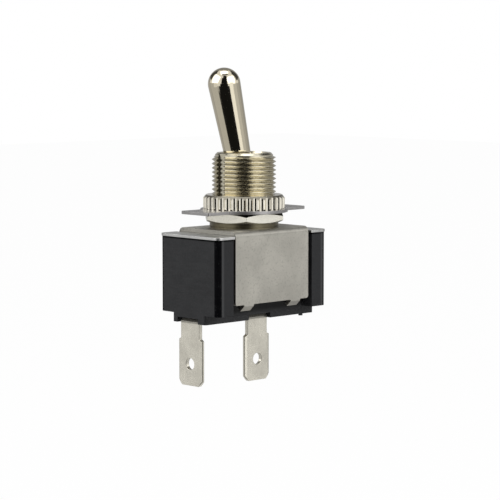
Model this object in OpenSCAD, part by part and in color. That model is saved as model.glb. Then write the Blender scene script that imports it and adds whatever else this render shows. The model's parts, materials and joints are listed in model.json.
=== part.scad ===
// Bat-handle toggle switch with a threaded bushing, a sheet-metal yoke,
// a moulded base and two push-on blades. Millimetres, +Z up.
// Origin: on the bushing axis, at the top face of the yoke.
// +X runs along the base, towards the ON side. The handle rests at OFF.

/* [Moulded base] */
// Length of the base
base_l = 28; // [26:0.2:34]
// Width of the base over its corner pillars
base_w = 15.6; // [14.8:0.2:18]
// Height of the base, from the cover plate to the underside of its pillars
base_h = 13.9; // [13:0.1:18]
// Radius of the base's upright corners
base_corner_r = 1.1; // [0.3:0.05:1.5]
// Gap between a leg of the yoke and a corner pillar
recess_gap = 0.7; // [0.4:0.05:1]
// Width of the groove beside a leg
groove_w = 1.6; // [1:0.1:1.8]
// Width of the waist that the yoke's legs clasp
waist_w = 13.5; // [12.6:0.1:14]
// Width of the foot
foot_w = 8.9; // [8.2:0.1:10]
// Height of the foot
foot_h = 1.7; // [1.2:0.1:3]
// Radius of the foot's upright corners
foot_corner_r = 0.6; // [0.2:0.1:1]
// How far the bevel under the waist runs down past the pillars
bevel_drop = 0.7; // [0.4:0.05:0.9]
// Height of the windows over the terminals, in the foot
window_h = 0.95; // [0.8:0.05:1.1]
// Diameter of the moulding nub under the foot
nub_d = 0.8; // [0.5:0.1:1.2]
// Height of the moulding nub
nub_h = 0.35; // [0.2:0.05:0.5]
// Inside width of the contact chamber
chamber_w = 10.6; // [9:0.1:11]
// Thickness of the chamber's end walls
end_wall = 1.8; // [1.5:0.1:3]
// Thickness of the chamber's floor, above the foot
floor_t = 2.3; // [1.6:0.1:3]
// Least wall between the chamber and a groove
groove_wall = 0.6; // [0.4:0.05:0.8]
// Length of the stop under the rocker's idle arm
stop_l = 1.8; // [1:0.1:2.4]
// Width of the stop under the rocker's idle arm
stop_w = 3; // [2:0.1:4.4]

/* [Cover plate and card] */
// Thickness of the cover plate
cover_t = 0.5; // [0.4:0.05:0.8]
// How far the cover plate stands out past the base
cover_lip = 0.15; // [0:0.05:0.3]
// Thickness of the insulating card
card_t = 0.45; // [0.3:0.05:0.8]
// Width of the ledge that carries the insulating card
card_ledge = 0.6; // [0.4:0.05:0.8]

/* [Yoke] */
// Thickness of the yoke's sheet
yoke_t = 0.8; // [0.5:0.05:0.9]
// Length of the yoke along the base
yoke_l = 18.8; // [15:0.1:21]
// Depth of the legs below the yoke's top face
leg_drop = 13.5; // [12:0.1:14.2]
// Outside radius of the bends
bend_r = 1.0; // [0.9:0.05:1.6]
// Radius of the legs' lower corners
leg_corner_r = 0.5; // [0.3:0.1:1.6]
// Width of a clinch tab
tab_w = 2.5; // [1.5:0.1:3.2]
// Distance between the two clinch tabs of one leg
tab_pitch = 12; // [9:0.2:13]
// Length of a clinch tab below the leg
tab_drop = 1.25; // [0.8:0.05:1.5]
// Angle at which a clinch tab turns under the waist
tab_angle = 38; // [20:1:45]

/* [Bushing] */
// Major diameter of the bushing's thread
thread_d = 11.9; // [11.4:0.1:12.4]
// Depth of the thread
thread_depth = 0.55; // [0.3:0.05:0.6]
// Height of the bushing above the yoke
bushing_h = 13.8; // [12:0.1:17]
// Diameter of the collar
collar_d = 12.8; // [12.4:0.1:15]
// Height of the collar
collar_h = 1.0; // [0.6:0.1:2]
// Height of the plain ring above the thread
rim_h = 0.65; // [0.4:0.05:1.2]
// Chamfer round the mouth of the bushing
rim_chamfer = 0.4; // [0.2:0.05:0.5]
// Width of the keyway
key_w = 1.9; // [1.2:0.1:2.4]
// Depth of the keyway
key_depth = 0.85; // [0.5:0.05:0.9]
// Direction of the keyway, from +X
key_angle = 176; // [170:1:190]
// Thickness of the rim that is staked over under the yoke
stake_t = 0.4; // [0.3:0.05:0.5]
// Width of the rim that is staked over under the yoke
stake_lip = 0.6; // [0.4:0.05:0.8]
// Wall of the spigot in the yoke
spigot_wall = 0.7; // [0.5:0.05:0.8]
// Gap between the handle and the bushing at its mouth
mouth_gap = 0.18; // [0.1:0.02:0.3]

/* [Nuts and legend plate] */
// Hex nut, across its flats
hex_af = 14; // [13.6:0.1:17]
// Thickness of the hex nut
hex_t = 1.8; // [1.4:0.1:3]
// Direction of one corner of the hex nut, from +X
hex_turn = 49.6; // [0:0.2:60]
// Height of the cone that breaks the hex nut's corners
hex_cone_h = 0.55; // [0.2:0.05:0.6]
// How far that cone cuts into the flats
hex_cone_in = 0.15; // [0:0.05:0.3]
// Diameter of the fluted nut
ring_d = 15.2; // [14.4:0.1:18]
// Thickness of the fluted nut
ring_t = 2.6; // [2:0.1:4]
// Number of flutes on the fluted nut
flute_count = 38; // [24:1:44]
// Depth of a flute
flute_depth = 0.3; // [0.15:0.05:0.45]
// Height of the cone round the fluted nut's face
ring_cone_h = 0.62; // [0.3:0.02:0.8]
// Inward slope of that cone
ring_cone_in = 0.5; // [0.3:0.05:0.7]
// Chamfer round the fluted nut's back
ring_back = 0.25; // [0.1:0.05:0.4]
// Thickness of the legend plate
legend_t = 0.6; // [0.4:0.05:1]
// Length of the legend plate over its two wings
legend_l = 25; // [20:0.2:30]
// Width of the wings
legend_w = 7.4; // [5:0.1:10]
// Diameter of the legend plate's round middle
legend_d = 16.3; // [15.2:0.1:19]
// Radius of the wings' corners
wing_corner_r = 0.35; // [0.1:0.05:1]

/* [Handle] */
// Height of the pivot above the yoke
pivot_h = 7.1; // [6.4:0.1:8]
// Angle between the OFF and ON positions
throw_angle = 29; // [22:1:29]
// Length of the handle, from the pivot to the centre of its round end
bat_l = 20.06; // [16:0.1:26]
// Diameter of the round end
bat_d = 6.0; // [5:0.1:7]
// Diameter of the handle where it leaves the ball
neck_d = 4.4; // [4:0.05:4.7]
// Diameter of the pivot ball
ball_d = 7.7; // [7:0.1:7.8]
// Diameter of the tail inside the switch
tail_d = 4.2; // [3.8:0.1:4.4]
// Length of the tail, from the pivot
tail_l = 12; // [10:0.1:12.6]
// Diameter of the pivot pin
pin_d = 1.6; // [1.2:0.1:1.8]

/* [Plunger and spring] */
// Diameter of the plunger
plunger_d = 2.6; // [2:0.1:2.8]
// Radius of the plunger's round tip
tip_r = 1.2; // [0.9:0.05:1.4]
// Length of the plunger inside the tail
plunger_grip = 5; // [3:0.1:6.5]
// Wire of the plunger's spring
spring_wire = 0.4; // [0.2:0.05:0.5]
// Turns of the plunger's spring
spring_turns = 7; // [4:1:9]

/* [Contacts] */
// Angle through which the rocker tips
rock_angle = 12; // [8:1:14]
// Length of one arm of the rocker
arm_l = 10.9; // [9.5:0.1:11.2]
// Width of the rocker
rocker_w = 4.4; // [3.6:0.1:4.8]
// Thickness of the rocker
rocker_t = 0.8; // [0.5:0.05:1]
// Distance of the contacts from the middle
contact_x = 9.5; // [8.8:0.1:9.7]
// Diameter of a contact button
contact_d = 2.8; // [2:0.1:3]
// Height of a contact button
contact_h = 0.6; // [0.4:0.05:0.9]
// Thickness of the saddle under the plunger, at its thinnest
saddle_t = 0.5; // [0.3:0.05:0.9]
// Half the length of the saddle
saddle_l = 4.6; // [4.3:0.1:5]
// Height of the saddle's horns above its thinnest part
saddle_h = 2.6; // [2:0.1:2.8]
// Diameter of the rocker's lugs
lug_d = 1; // [0.8:0.1:1.2]
// Half the width of an ear that carries a lug
ear_x = 1.6; // [1.2:0.1:2]
// Height of an ear above the lug's axis
ear_h = 0.45; // [0.3:0.05:0.6]

/* [Blades] */
// Width of a push-on blade
blade_w = 6.35; // [4.75:0.05:6.4]
// Thickness of a blade
blade_t = 0.8; // [0.5:0.05:1]
// Width of the bevel along a blade's edges
blade_bevel_w = 0.5; // [0.2:0.05:0.8]
// Depth of the bevel along a blade's edges
blade_bevel = 0.2; // [0.1:0.05:0.25]
// Length of a blade, from its shoulders to its tip
blade_l = 8.4; // [7:0.1:10]
// Width of the neck above the shoulders
neck_w = 4.9; // [3.6:0.1:5.2]
// Length of the neck below the foot
neck_l = 3.15; // [1:0.05:5]
// Chamfer at a blade's tip
blade_tip = 1.0; // [0.5:0.1:1.5]
// Diameter of the latch hole in a blade
latch_d = 2.2; // [1.6:0.1:2.4]
// Distance of the latch hole from the tip
latch_up = 4.0; // [3:0.1:5]
// Distance of the line blade's outer face from the end of the base
line_inset = 0.3; // [0.2:0.05:0.6]
// Inward step of the line terminal where it enters the foot
line_step = 0.7; // [0.5:0.05:1]
// Distance between the outer faces of the load terminal's two ears
fork_w = 6.5; // [6.3:0.1:7]
// Inward step of the load terminal where it enters the foot
load_step = 0.35; // [0.2:0.05:0.4]
// Height above the foot's underside where both steps start
step_up = 0.25; // [0.1:0.05:0.4]
// Diameter of a terminal rivet
rivet_d = 1.6; // [1.2:0.1:2]
// Width of a rivet's head round its shank
rivet_lip = 0.55; // [0.4:0.05:0.7]
// Height of a rivet's head
rivet_head_t = 0.4; // [0.3:0.05:0.5]

/* [Hidden] */

$fn = 96;
// Overshoot of a cut past the face it opens
cut = 0.5;
// Gap round a piece that only has to go in
slip = 0.05;
// Gap round a piece that has to swing
swing = 0.3;
// Gap between two pieces that press on each other
rest_gap = 0.05;

// Levels, from the yoke's top face downwards
cover_z = -yoke_t - cover_t;
base_z = cover_z - base_h;
foot_z = base_z - foot_h;
floor_z = base_z + floor_t;
flag_z = floor_z + blade_t;
shoulder_z = foot_z - neck_l;
blade_z = shoulder_z - blade_l;
leg_z = -leg_drop;

// Yoke and waist
yoke_in = waist_w / 2 + slip;
yoke_out = yoke_in + yoke_t;
recess_x = yoke_l / 2 + recess_gap;
bevel_top = leg_z + 0.35;
bevel_foot = base_z - bevel_drop;
// How far the cover plate reaches in past the corner pillars
cover_step = 0.25;
groove_depth = (waist_w - chamber_w) / 2 - groove_wall;
chamber_x = base_l / 2 - end_wall;

// Handle geometry
half_throw = throw_angle / 2;
ball_r = ball_d / 2;
seat_r = ball_r + 0.15;
throat_r = neck_d / 2 / cos(half_throw) + mouth_gap;
bore_end = pivot_h - seat_r + 0.3;
bat_taper = (bat_d - neck_d) / 2 / bat_l;
mouth_r = reach(bushing_h - pivot_h) + bat_at_mouth() + mouth_gap;
stake_z = -yoke_t - stake_t;
relief_r = reach(pivot_h - stake_z) + tail_half() + swing;
spigot_r = relief_r + spigot_wall;
stake_r = spigot_r + stake_lip;
card_slot_x = reach(pivot_h - cover_z + card_t) + tail_half() + swing;
card_slot_y = tail_d / 2 + swing;
bore_r = plunger_d / 2 + slip;
bore_top = ball_r / 2;

// Bushing
thread_r = thread_d / 2;
root_r = thread_r - thread_depth;
// Where the nuts and the bushing engage, both stand at the pitch diameter
pitch_r = thread_r - thread_depth / 2;
stem_top = bushing_h - rim_h;
nut_bore_r = pitch_r + slip;
plate_bore_r = thread_r + slip;
pin_half = root_r - 0.65;

// Stack on the bushing
hex_z = collar_h;
legend_z = hex_z + hex_t;
ring_z = legend_z + legend_t;
clamp_top = ring_z + ring_t;

// Rocker geometry: the plunger's tip swings about the handle's pivot while
// the rocker tips the other way, so in the rocker the tip follows a trough
half_rock = rock_angle / 2;
rock_z = flag_z + 2 * contact_h + rest_gap;
trough_h = rocker_t / cos(half_rock) + saddle_t;
rock_drop = pivot_h - rock_z;
tip_reach = rock_drop - trough_h - rest_gap - tip_r;
tip_x = tip_reach * sin(half_throw);
tip_z = rock_drop - tip_reach * cos(half_throw);
trough_x = tip_x * cos(half_rock) - tip_z * sin(half_rock);
trough_rise = tip_x * sin(half_rock) + tip_z * cos(half_rock)
    - rock_drop + tip_reach;
path_r = (pow(trough_x, 2) + pow(trough_rise, 2)) / (2 * trough_rise);
trough_r = path_r + tip_r + rest_gap;
lug_r = lug_d / 2;
ear_top = rock_z + ear_h;

// Terminals
line_x = -base_l / 2 + line_inset;
line_up_x = line_x + line_step;
load_y = -fork_w / 2 - load_step;
// How far a window is wider than its terminal, on one side
window_side = 0.6;
rivet_head_r = rivet_d / 2 + rivet_lip;
line_rivet_x = -contact_x + contact_d / 2 + rivet_head_r + 0.2;
line_end_x = line_rivet_x + rivet_head_r + 0.2;

// Sideways reach of the handle's axis at a distance from the pivot
function reach(d) = d * tan(half_throw);
// Half the tail, cut level
function tail_half() = tail_d / 2 / cos(half_throw);
// Half the handle at the bushing's mouth, cut level
function bat_at_mouth() =
    (neck_d / 2 + bat_taper * (bushing_h - pivot_h)) / cos(half_throw);

// ---- Shared shapes ----

// Rectangle with round corners, centred
module plate_2d(l, w, r) {
    square([l - 2 * r, w], center = true);
    square([l, w - 2 * r], center = true);
    for (x = [-1, 1], y = [-1, 1])
        translate([x * (l / 2 - r), y * (w / 2 - r)])
            circle(r = r);
}

// Extrudes a Y-Z outline along X, centred
module along_x(l) {
    rotate([90, 0, 90])
        linear_extrude(height = l, center = true)
            children();
}

// Extrudes an X-Z outline along Y, centred
module along_y(w) {
    rotate([90, 0, 0])
        linear_extrude(height = w, center = true)
            children();
}

// Puts its children in the handle's frame: origin at the pivot, at rest
module on_lever() {
    translate([0, 0, pivot_h])
        rotate([0, -half_throw, 0])
            children();
}

// Puts its children in the rocker's frame: origin at its lugs, at rest
module on_rocker() {
    translate([0, 0, rock_z])
        rotate([0, half_rock, 0])
            children();
}

// Outline of a push-on blade with its neck, up to a level
module blade_2d(top) {
    polygon([
        [-blade_w / 2 + blade_tip, blade_z],
        [blade_w / 2 - blade_tip, blade_z],
        [blade_w / 2, blade_z + blade_tip],
        [blade_w / 2, shoulder_z],
        [neck_w / 2, shoulder_z + 0.3],
        [neck_w / 2, top],
        [-neck_w / 2, top],
        [-neck_w / 2, shoulder_z + 0.3],
        [-blade_w / 2, shoulder_z],
        [-blade_w / 2, blade_z + blade_tip]
    ]);
}

// Rivet through a terminal and the base, along Z
module rivet() {
    translate([0, 0, foot_z + rivet_head_t])
        cylinder(h = flag_z - foot_z, r = rivet_d / 2 - slip);
    translate([0, 0, flag_z])
        cylinder(h = rivet_head_t, r = rivet_head_r);
    translate([0, 0, foot_z + rivet_head_t])
        rotate([180, 0, 0])
            cylinder(h = rivet_head_t, r = rivet_head_r);
}

// ---- Moulded base ----

module base_solid() {
    // Corner pillars, full width
    translate([0, 0, base_z])
        linear_extrude(height = base_h)
            difference() {
                plate_2d(base_l, base_w, base_corner_r);
                square([2 * recess_x, base_w + cut], center = true);
            }
    // Waist between the legs, bevelled down to the foot
    along_x(2 * recess_x)
        polygon([
            [-waist_w / 2, cover_z],
            [waist_w / 2, cover_z],
            [waist_w / 2, bevel_top],
            [foot_w / 2, bevel_foot],
            [-foot_w / 2, bevel_foot],
            [-waist_w / 2, bevel_top]
        ]);
    // Foot
    translate([0, 0, foot_z])
        linear_extrude(height = foot_h)
            plate_2d(base_l, foot_w, foot_corner_r);
    // Moulding nub under the foot
    translate([recess_x + nub_d, nub_d / 2 - foot_w / 2, foot_z - nub_h])
        cylinder(h = nub_h + slip, r = nub_d / 2);
}

module chamber() {
    translate([-chamber_x, -chamber_w / 2, floor_z])
        cube([2 * chamber_x, chamber_w, base_h]);
    // Ledge for the insulating card
    translate([0, 0, cover_z - card_t])
        linear_extrude(height = card_t + cut)
            plate_2d(
                2 * (chamber_x + card_ledge),
                chamber_w + 2 * card_ledge,
                0.5
            );
    // Way up for the line terminal at the end wall
    translate([line_up_x - slip, -neck_w / 2 - slip, foot_z - cut])
        cube([
            blade_t + 2 * slip,
            neck_w + 2 * slip,
            flag_z - foot_z + cut + slip
        ]);
    // Way up for the load terminal
    translate([-neck_w / 2 - slip, -fork_w / 2 - slip, foot_z - cut])
        cube([
            neck_w + 2 * slip,
            blade_t + 2 * slip,
            floor_z - foot_z + 2 * cut
        ]);
}

module base_windows() {
    // Open mouth of the line terminal's slot, in the end of the foot
    translate([-base_l / 2 - cut, -neck_w / 2, foot_z - cut])
        cube([
            cut + line_inset + line_step + blade_t + slip,
            neck_w + window_side,
            window_h + cut
        ]);
    // Open mouth of the load terminal's slot, in the side of the foot
    translate([-neck_w / 2 - window_side, -foot_w / 2 - cut, foot_z - cut])
        cube([
            neck_w + window_side + slip,
            (foot_w - fork_w) / 2 + cut + blade_t + slip,
            window_h + cut
        ]);
}

// Grooves beside the edges of the yoke's legs
module leg_grooves() {
    for (x = [-1, 1], y = [-1, 1])
        translate([x * (recess_x - groove_w / 2), y * waist_w / 2, base_z])
            linear_extrude(height = base_h + cut)
                square([groove_w, 2 * groove_depth], center = true);
}

module base_housing() {
    color([0.18, 0.18, 0.19])
        difference() {
            union() {
                difference() {
                    base_solid();
                    chamber();
                    base_windows();
                    leg_grooves();
                }
                // Stop for the idle arm of the rocker
                translate([contact_x - stop_l / 2, -stop_w / 2, floor_z - slip])
                    cube([stop_l, stop_w, rock_z - rest_gap - floor_z + slip]);
            }
            for (x = [line_rivet_x, 0])
                translate([x, 0, foot_z - cut]) {
                    cylinder(h = floor_z - foot_z + 2 * cut, r = rivet_d / 2);
                    cylinder(
                        h = rivet_head_t + cut + slip,
                        r = rivet_head_r + slip
                    );
                }
        }
}

// ---- Sheet pieces ----

module cover_plate() {
    color([0.66, 0.65, 0.63])
        translate([0, 0, cover_z])
            linear_extrude(height = cover_t)
                difference() {
                    plate_2d(
                        base_l + 2 * cover_lip,
                        base_w + 2 * cover_lip,
                        base_corner_r + cover_lip
                    );
                    for (y = [-1, 1])
                        translate([0, y * (waist_w / 2 + base_w / 2)])
                            square([2 * recess_x - 2 * cover_step, base_w], center = true);
                    circle(r = stake_r + swing);
                }
}

module insulator_card() {
    color([0.45, 0.32, 0.2])
        translate([0, 0, cover_z - card_t])
            linear_extrude(height = card_t)
                difference() {
                    plate_2d(
                        2 * (chamber_x + card_ledge - slip),
                        chamber_w + 2 * (card_ledge - slip),
                        0.5
                    );
                    plate_2d(2 * card_slot_x, 2 * card_slot_y, card_slot_y - 0.1);
                }
}

// Cross-section of the yoke: a U, with sharp corners rounded outside
module yoke_section() {
    difference() {
        union() {
            translate([-yoke_out, leg_z - tab_drop - cut])
                square([2 * yoke_out, leg_drop + tab_drop + cut - bend_r]);
            translate([-yoke_out + bend_r, -bend_r])
                square([2 * (yoke_out - bend_r), bend_r]);
            for (y = [-1, 1])
                translate([y * (yoke_out - bend_r), -bend_r])
                    circle(r = bend_r);
        }
        translate([-yoke_in, leg_z - tab_drop - 2 * cut])
            square([2 * yoke_in, leg_drop + tab_drop + 2 * cut - yoke_t]);
    }
}

// Side outline of the yoke, down to the legs' lower edge
module yoke_outline() {
    translate([-yoke_l / 2, leg_z + leg_corner_r])
        square([yoke_l, leg_drop - leg_corner_r + cut]);
    translate([-yoke_l / 2 + leg_corner_r, leg_z])
        square([yoke_l - 2 * leg_corner_r, leg_corner_r + cut]);
    for (x = [-1, 1])
        translate([x * (yoke_l / 2 - leg_corner_r), leg_z + leg_corner_r])
            circle(r = leg_corner_r);
}

// Clinch tab at a leg's lower edge, turned in under the waist
module clinch_tab() {
    along_x(tab_w)
        polygon([
            [-yoke_out, leg_z + 0.3],
            [-yoke_in, leg_z + 0.3],
            [-yoke_in, leg_z - 0.15],
            [
                -yoke_in + (tab_drop - 0.15) * tan(tab_angle),
                leg_z - tab_drop + yoke_t * sin(tab_angle)
            ],
            [
                -yoke_in + (tab_drop - 0.15) * tan(tab_angle) - yoke_t * cos(tab_angle),
                leg_z - tab_drop
            ],
            [-yoke_out, leg_z - 0.3]
        ]);
}

module frame_yoke() {
    color([0.68, 0.67, 0.63]) {
        difference() {
            union() {
                intersection() {
                    along_x(yoke_l)
                        yoke_section();
                    along_y(4 * yoke_out)
                        yoke_outline();
                }
                for (x = [-1, 1], m = [0, 1])
                    mirror([0, m, 0])
                        translate([x * tab_pitch / 2, 0, 0])
                            clinch_tab();
            }
            translate([0, 0, -yoke_t - cut])
                cylinder(h = yoke_t + 2 * cut, r = spigot_r + slip);
        }
    }
}

// ---- Bushing and what it carries ----

module bushing_body() {
    // Spigot through the yoke, staked over under it
    translate([0, 0, -yoke_t])
        cylinder(h = yoke_t, r = spigot_r);
    translate([0, 0, stake_z])
        cylinder(h = stake_t, r1 = stake_r - 0.15, r2 = stake_r);
    cylinder(h = collar_h, r = collar_d / 2);
    // Stem: at the pitch diameter inside the nuts, at the crests above them,
    // and with a plain chamfered ring at the top
    rotate_extrude()
        polygon([
            [0, collar_h - slip],
            [pitch_r, collar_h - slip],
            [pitch_r, clamp_top + rest_gap],
            [thread_r, clamp_top + rest_gap],
            [thread_r, stem_top - thread_depth / 2],
            [root_r, stem_top],
            [root_r, bushing_h - rim_chamfer],
            [root_r - rim_chamfer, bushing_h],
            [0, bushing_h]
        ]);
}

// Half outline of the bore: relief, ball seat, throat and flared mouth
module bore_2d() {
    translate([0, pivot_h])
        intersection() {
            circle(r = seat_r);
            square(seat_r);
        }
    polygon([
        [0, stake_z - cut],
        [relief_r, stake_z - cut],
        [relief_r, stake_z],
        [seat_r, bore_end],
        [seat_r, pivot_h],
        [0, pivot_h]
    ]);
    polygon([
        [0, pivot_h],
        [throat_r, pivot_h],
        [mouth_r, bushing_h],
        [mouth_r, bushing_h + cut],
        [0, bushing_h + cut]
    ]);
}

module bushing_bore() {
    rotate_extrude()
        bore_2d();
    // Grooves that the pivot pin slides up and rests in
    along_y(2 * (pin_half + slip))
        union() {
            translate([0, pivot_h])
                circle(r = pin_d / 2 + slip);
            translate([-pin_d / 2 - slip, stake_z - cut])
                square([pin_d + 2 * slip, pivot_h - stake_z + cut]);
        }
}

module threaded_bushing() {
    color([0.74, 0.69, 0.58])
        difference() {
            bushing_body();
            bushing_bore();
            // Keyway
            rotate([0, 0, key_angle])
                translate([thread_r - key_depth, -key_w / 2, collar_h])
                    cube([key_depth + cut, key_w, bushing_h]);
        }
}

// Disc of a radius and height with both edges cut to cones
module coned_disc(r, h, top_in, top_h, low_in, low_h) {
    rotate_extrude()
        polygon([
            [0, 0],
            [r - low_in, 0],
            [r, low_h],
            [r, h - top_h],
            [r - top_in, h],
            [0, h]
        ]);
}

module hex_back_nut() {
    hex_r = hex_af / 2 / cos(30);
    cone_in = hex_r - hex_af / 2 + hex_cone_in;
    color([0.86, 0.84, 0.79])
        translate([0, 0, hex_z])
            difference() {
                intersection() {
                    rotate([0, 0, hex_turn])
                        cylinder(h = hex_t, r = hex_r, $fn = 6);
                    coned_disc(hex_r, hex_t, cone_in, hex_cone_h, cone_in, hex_cone_h);
                }
                translate([0, 0, -cut])
                    cylinder(h = hex_t + 2 * cut, r = nut_bore_r);
            }
}

module legend_plate() {
    color([0.62, 0.61, 0.61])
        translate([0, 0, legend_z])
            linear_extrude(height = legend_t) {
                difference() {
                    union() {
                        circle(r = legend_d / 2);
                        plate_2d(legend_l, legend_w, wing_corner_r);
                    }
                    circle(r = plate_bore_r);
                }
                // Tongue in the bushing's keyway
                rotate(key_angle)
                    translate([thread_r - key_depth + 2 * slip, -key_w / 2 + 2 * slip])
                        square([key_depth + cut, key_w - 4 * slip]);
            }
}

module fluted_face_nut() {
    ring_r = ring_d / 2;
    // Radius of a flute that leaves a narrow ridge to the next one
    flute_half = PI * ring_d / flute_count * 0.42;
    flute_r = (pow(flute_half, 2) + pow(flute_depth, 2)) / (2 * flute_depth);
    color([0.76, 0.72, 0.63])
        translate([0, 0, ring_z])
            intersection() {
                linear_extrude(height = ring_t)
                    difference() {
                        circle(r = ring_r);
                        circle(r = nut_bore_r);
                        for (i = [0:flute_count - 1])
                            rotate((i + 0.5) * 360 / flute_count)
                                translate([ring_r - flute_depth + flute_r, 0])
                                    circle(r = flute_r, $fn = 24);
                    }
                coned_disc(ring_r, ring_t, ring_cone_in, ring_cone_h, ring_back, ring_back);
            }
}

// ---- Terminals ----

module line_terminal() {
    bend = blade_t * 0.4;
    color([0.72, 0.7, 0.65])
        difference() {
            intersection() {
                // Bent strip seen along Y: blade, inward step, flag
                along_y(2 * blade_w)
                    polygon([
                        [line_x, blade_z],
                        [line_x, foot_z + step_up],
                        [line_up_x, foot_z + window_h - slip],
                        [line_up_x, flag_z - bend],
                        [line_up_x + bend, flag_z],
                        [line_end_x, flag_z],
                        [line_end_x, floor_z],
                        [line_up_x + blade_t, floor_z],
                        [line_up_x + blade_t, foot_z + window_h - step_up - slip],
                        [line_x + blade_t, foot_z],
                        [line_x + blade_t, blade_z]
                    ]);
                // Strip seen along X: blade, shoulders, neck
                along_x(2 * base_l)
                    blade_2d(flag_z + cut);
                line_bevels();
            }
            translate([line_x + blade_t / 2, 0, blade_z + latch_up])
                rotate([0, 90, 0])
                    cylinder(h = 2 * blade_t, r = latch_d / 2, center = true);
            translate([-contact_x, 0, floor_z - cut])
                cylinder(h = blade_t + 2 * cut, r = contact_d / 4);
            translate([line_rivet_x, 0, floor_z - cut])
                cylinder(h = blade_t + 2 * cut, r = rivet_d / 2);
        }
}

// Envelope that bevels the long edges of the line blade
module line_bevels() {
    translate([0, 0, blade_z - cut])
        linear_extrude(height = flag_z - blade_z + 2 * cut)
            union() {
                blade_section(line_x);
                translate([line_x + blade_t / 2, -neck_w / 2])
                    square([base_l / 2, neck_w]);
            }
}

// Cross-section of a blade with bevelled long edges, from an outer face
module blade_section(x) {
    polygon([
        [x, -blade_w / 2 + blade_bevel_w],
        [x + blade_bevel, -blade_w / 2],
        [x + blade_t - blade_bevel, -blade_w / 2],
        [x + blade_t, -blade_w / 2 + blade_bevel_w],
        [x + blade_t, blade_w / 2 - blade_bevel_w],
        [x + blade_t - blade_bevel, blade_w / 2],
        [x + blade_bevel, blade_w / 2],
        [x, blade_w / 2 - blade_bevel_w]
    ]);
}

module load_terminal() {
    color([0.72, 0.7, 0.65])
        difference() {
            intersection() {
                // Strip seen along X: blade, inward step, near ear, flag, far ear
                along_x(2 * blade_w)
                    polygon([
                        [load_y, blade_z],
                        [load_y + blade_t, blade_z],
                        [load_y + blade_t, foot_z],
                        [-fork_w / 2 + blade_t, foot_z + window_h - step_up - slip],
                        [-fork_w / 2 + blade_t, floor_z],
                        [fork_w / 2, floor_z],
                        [fork_w / 2, ear_top],
                        [fork_w / 2 - blade_t, ear_top],
                        [fork_w / 2 - blade_t, flag_z],
                        [-fork_w / 2 + blade_t, flag_z],
                        [-fork_w / 2 + blade_t, ear_top],
                        [-fork_w / 2, ear_top],
                        [-fork_w / 2, foot_z + window_h - slip],
                        [load_y, foot_z + step_up]
                    ]);
                // Strip seen along Y: blade, neck, ears
                along_y(4 * fork_w)
                    union() {
                        blade_2d(flag_z);
                        translate([-ear_x, flag_z - cut])
                            square([2 * ear_x, ear_top - flag_z + 2 * cut]);
                    }
                load_bevels();
            }
            // Notches that carry the rocker's lugs
            along_y(2 * fork_w)
                union() {
                    translate([0, rock_z])
                        circle(r = lug_r + 2 * slip);
                    translate([-lug_r - 2 * slip, rock_z])
                        square([2 * lug_r + 4 * slip, ear_h + cut]);
                }
            translate([0, load_y + blade_t / 2, blade_z + latch_up])
                rotate([90, 0, 0])
                    cylinder(h = 2 * blade_t, r = latch_d / 2, center = true);
            translate([0, 0, floor_z - cut])
                cylinder(h = blade_t + 2 * cut, r = rivet_d / 2);
        }
}

// Envelope that bevels the long edges of the load blade
module load_bevels() {
    translate([0, 0, blade_z - cut])
        linear_extrude(height = ear_top - blade_z + 2 * cut)
            union() {
                rotate(90)
                    blade_section(load_y);
                translate([-neck_w / 2, load_y])
                    square([neck_w, fork_w + load_step + slip]);
            }
}

module line_rivet() {
    color([0.76, 0.72, 0.6])
        translate([line_rivet_x, 0, 0])
            rivet();
}

module load_rivet() {
    color([0.76, 0.72, 0.6])
        rivet();
}

module fixed_contact() {
    color([0.85, 0.85, 0.86])
        translate([-contact_x, 0, floor_z]) {
            cylinder(h = blade_t, r = contact_d / 4 - slip);
            translate([0, 0, blade_t])
                cylinder(h = contact_h, r = contact_d / 2);
        }
}

// ---- Handle, plunger and spring ----

module bat_lever() {
    color([0.78, 0.75, 0.68])
        on_lever()
            difference() {
                union() {
                    sphere(r = ball_r);
                    cylinder(h = bat_l, r1 = neck_d / 2, r2 = bat_d / 2);
                    translate([0, 0, bat_l])
                        sphere(r = bat_d / 2);
                    rotate([180, 0, 0])
                        coned_disc(tail_d / 2, tail_l, 0.3, 0.3, 0, 0.1);
                }
                translate([0, 0, -tail_l - cut])
                    cylinder(h = tail_l + cut - bore_top, r = bore_r);
                rotate([90, 0, 0])
                    cylinder(h = ball_d + cut, r = pin_d / 2, center = true);
            }
}

module pivot_pin() {
    color([0.6, 0.6, 0.6])
        on_lever()
            rotate([90, 0, 0])
                cylinder(h = 2 * pin_half, r = pin_d / 2, center = true);
}

// Space of the spring between the bore's end and the plunger
module plunger_spring() {
    spring_l = tail_l - plunger_grip - bore_top;
    turn_h = spring_l / spring_turns;
    mid_r = bore_r - slip - spring_wire / 2;
    color([0.55, 0.55, 0.57])
        on_lever()
            translate([0, 0, plunger_grip - tail_l])
                rotate_extrude()
                    polygon(concat(
                        [[mid_r - spring_wire / 2, 0]],
                        [for (i = [0:spring_turns - 1], s = [0, 1])
                            [mid_r + (s - 0.5) * spring_wire, (i + s / 2) * turn_h]],
                        [
                            [mid_r + spring_wire / 2, spring_l],
                            [mid_r - spring_wire / 2, spring_l]
                        ]
                    ));
}

module plunger() {
    color([0.9, 0.88, 0.8])
        on_lever()
            translate([0, 0, -tip_reach]) {
                sphere(r = tip_r);
                cylinder(h = tip_r, r1 = tip_r, r2 = plunger_d / 2);
                translate([0, 0, tip_r])
                    cylinder(h = tip_reach - tail_l + plunger_grip - tip_r, r = plunger_d / 2);
            }
}

// ---- Rocker ----

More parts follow.
